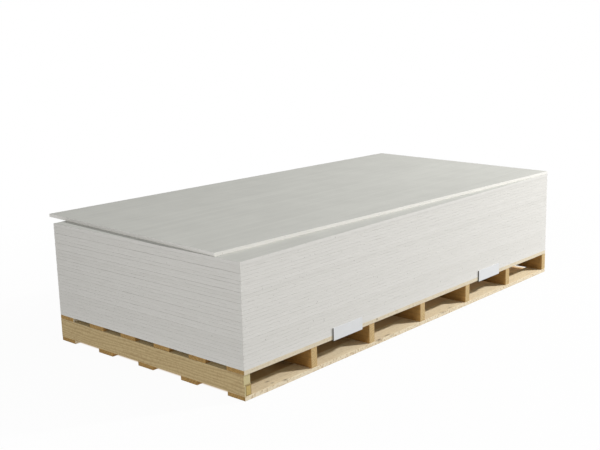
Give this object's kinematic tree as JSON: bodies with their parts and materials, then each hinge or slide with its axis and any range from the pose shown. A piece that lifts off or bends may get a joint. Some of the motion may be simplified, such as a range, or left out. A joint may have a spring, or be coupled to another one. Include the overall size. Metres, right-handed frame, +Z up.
{
  "type": "pallet of fire-resistant boards",
  "caption": "Stack of flat white fire-resistant building sheets on a low sawn-timber stringer pallet with fork bays on its long sides, the top sheet swung askew.",
  "frame": {"origin": "middle of the pallet's footprint on the floor, on the underside of the middle bottom board", "axes": "+X along the sheets' length, +Y across them away from the front long side, +Z up"},
  "size_m": [2.5112, 1.367, 0.5828],
  "materials": {
    "mineral_board": "matt, smooth pressed faces and sawn edges",
    "sawn_softwood": "rough sawn, unplaned",
    "edge_board": "white lined, matt"
  },
  "bodies": {
    "root": {"board_01": "mineral_board", "board_02": "mineral_board", "board_03": "mineral_board", "board_04": "mineral_board", "board_05": "mineral_board", "board_06": "mineral_board", "board_07": "mineral_board", "board_08": "mineral_board", "board_09": "mineral_board", "board_10": "mineral_board", "board_11": "mineral_board", "board_12": "mineral_board", "board_13": "mineral_board", "board_14": "mineral_board", "board_15": "mineral_board", "board_16": "mineral_board", "board_17": "mineral_board", "board_18": "mineral_board", "board_19": "mineral_board", "board_20": "mineral_board", "board_21": "mineral_board", "board_22": "mineral_board", "board_23": "mineral_board", "board_24": "mineral_board", "board_25": "mineral_board", "board_26": "mineral_board", "board_27": "mineral_board", "board_28": "mineral_board", "board_29": "mineral_board", "top_board": "mineral_board", "stringer_1": "sawn_softwood", "stringer_2": "sawn_softwood", "stringer_3": "sawn_softwood", "stringer_4": "sawn_softwood", "stringer_5": "sawn_softwood", "stringer_6": "sawn_softwood", "stringer_7": "sawn_softwood", "deck_board_1": "sawn_softwood", "deck_board_2": "sawn_softwood", "deck_board_3": "sawn_softwood", "deck_board_4": "sawn_softwood", "deck_board_5": "sawn_softwood", "deck_board_6": "sawn_softwood", "bottom_board_1": "sawn_softwood", "bottom_board_2": "sawn_softwood", "bottom_board_3": "sawn_softwood", "bottom_board_4": "sawn_softwood", "bottom_board_5": "sawn_softwood", "edge_protector_near": "edge_board", "edge_protector_far": "edge_board"}
  },
  "joints": []
}
